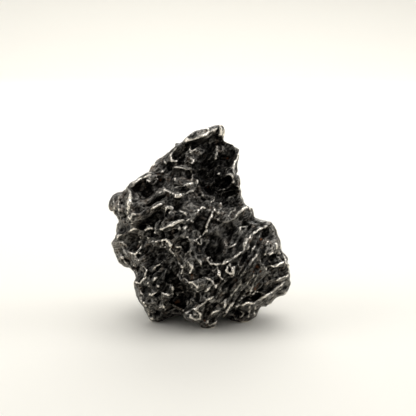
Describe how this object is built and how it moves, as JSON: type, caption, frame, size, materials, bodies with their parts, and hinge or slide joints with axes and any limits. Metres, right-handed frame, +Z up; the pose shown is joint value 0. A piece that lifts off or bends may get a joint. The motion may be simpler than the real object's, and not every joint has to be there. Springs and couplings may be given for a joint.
{
  "type": "iron meteorite",
  "caption": "Jagged upright iron meteorite, deeply pitted all over, with a leaning peak, an overhanging cap and ribbed faces, standing on small spots worn flat underneath",
  "frame": {"origin": "centre of the bounding box in X and Y, on the plane of the spots the stone stands on", "axes": "+Z up through the peak, +X to the viewer's right and -Y to the viewer of the pictured face"},
  "size_m": [0.0362, 0.0288, 0.0379],
  "materials": {
    "iron": "near-black patina in the hollows, crests worn to bright bare metal"
  },
  "bodies": {
    "root": {"meteorite": "iron"}
  },
  "joints": []
}
